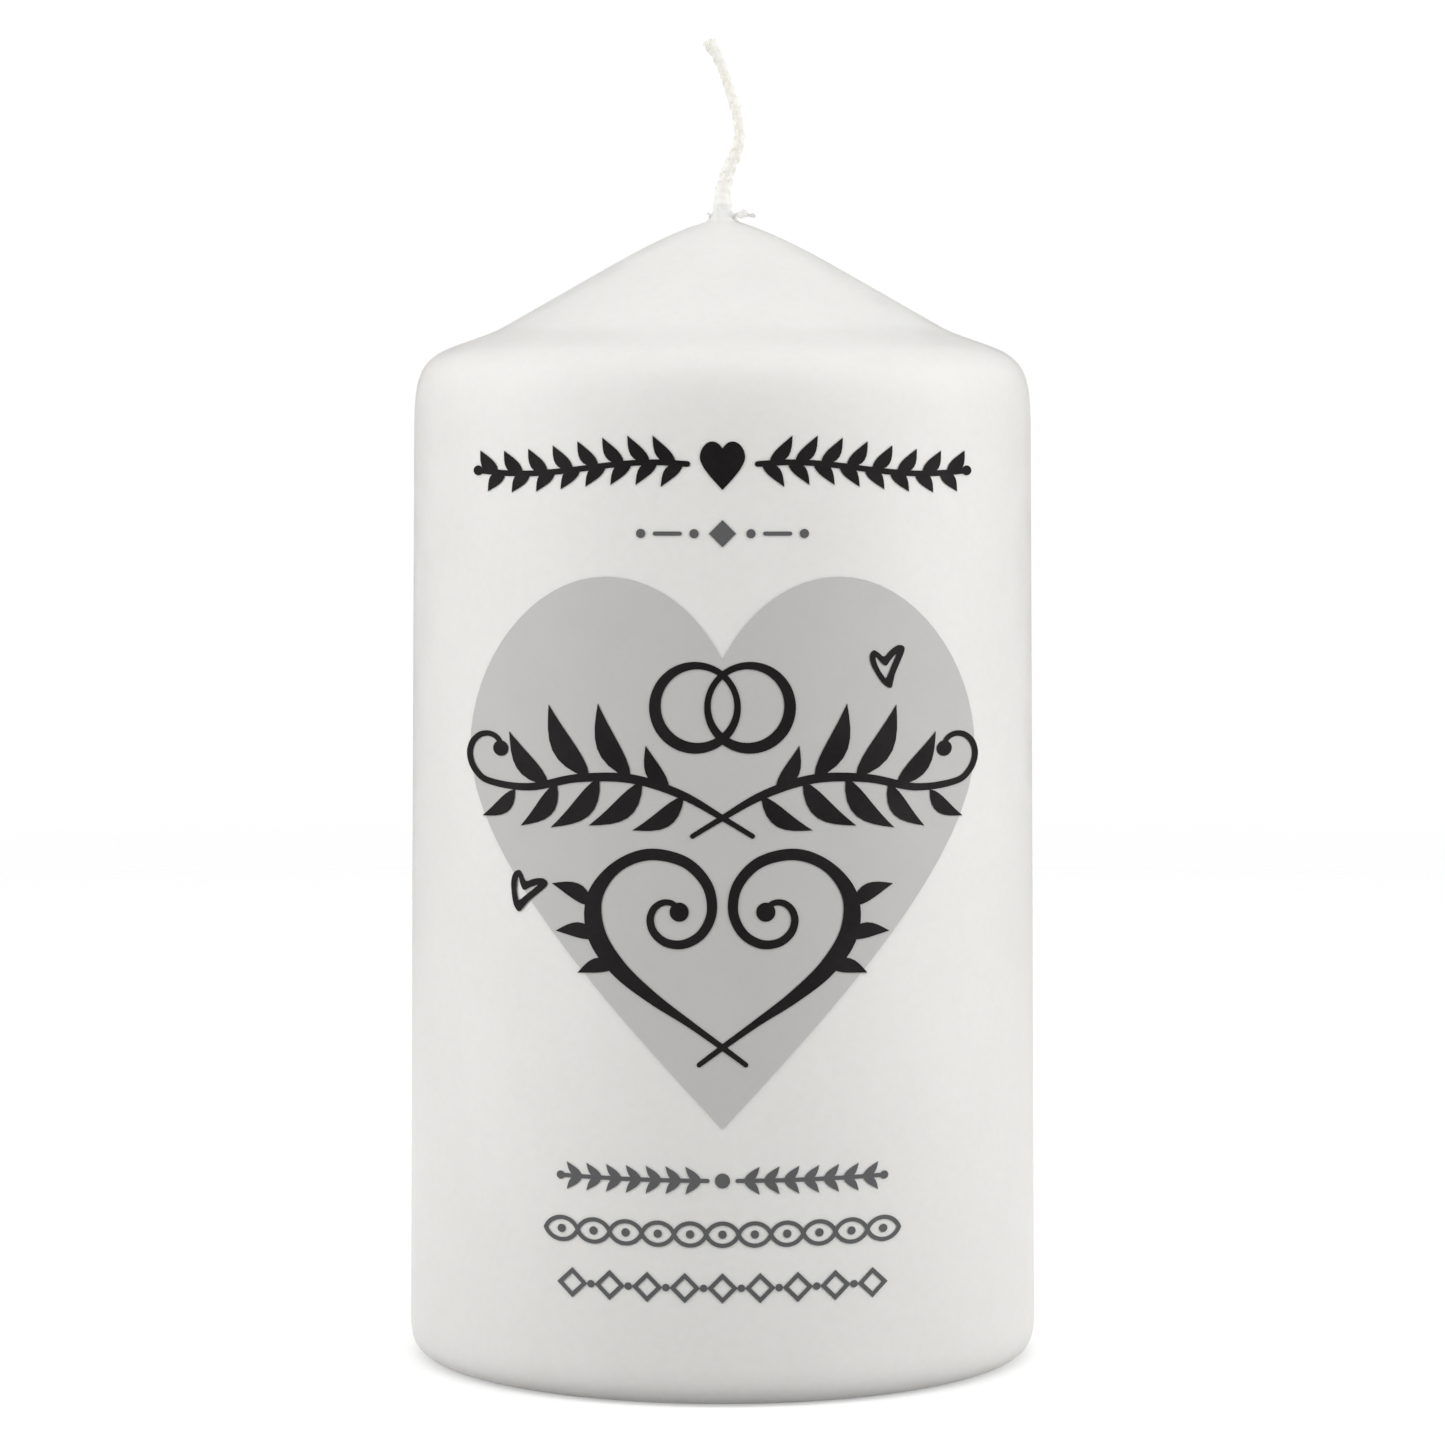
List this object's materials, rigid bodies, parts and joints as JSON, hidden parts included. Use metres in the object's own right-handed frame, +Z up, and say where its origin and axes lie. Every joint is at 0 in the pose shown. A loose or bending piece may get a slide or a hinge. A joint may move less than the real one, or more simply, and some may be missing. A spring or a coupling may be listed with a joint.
{
  "type": "unity candle",
  "caption": "Wide white pillar candle with a conical top, a curved braided wick, a hard outer wax coat over a pressed core, and an ornamental print on its front.",
  "frame": {"origin": "centre of the foot, on the surface that the candle stands on", "axes": "+Z up along the pillar's axis, -Y out of the printed front, +X to the viewer's right"},
  "size_m": [0.08, 0.08, 0.1674],
  "materials": {
    "coat_wax": "hard white paraffin skin, satin, slightly translucent",
    "core_wax": "pressed paraffin, dull, fine granular",
    "wick_cotton": "braided cotton under a film of wax",
    "tinned_steel": "stamped tinned sheet, satin",
    "pale_grey_ink": "thin printed ink film, satin",
    "dark_grey_ink": "thin printed ink film, satin",
    "black_ink": "thin printed ink film, satin"
  },
  "bodies": {
    "root": {"overdip_coat": "coat_wax", "wax_core": "core_wax", "wick": "wick_cotton", "wick_sustainer": "tinned_steel", "print_heart": "pale_grey_ink", "print_title_sprigs": "black_ink", "print_divider": "dark_grey_ink", "print_rings_and_laurel": "black_ink", "print_scrolls": "black_ink", "print_small_heart_right": "black_ink", "print_small_heart_left": "black_ink", "print_garland_row": "dark_grey_ink", "print_chain_row": "dark_grey_ink", "print_lozenge_row": "dark_grey_ink"}
  },
  "joints": []
}
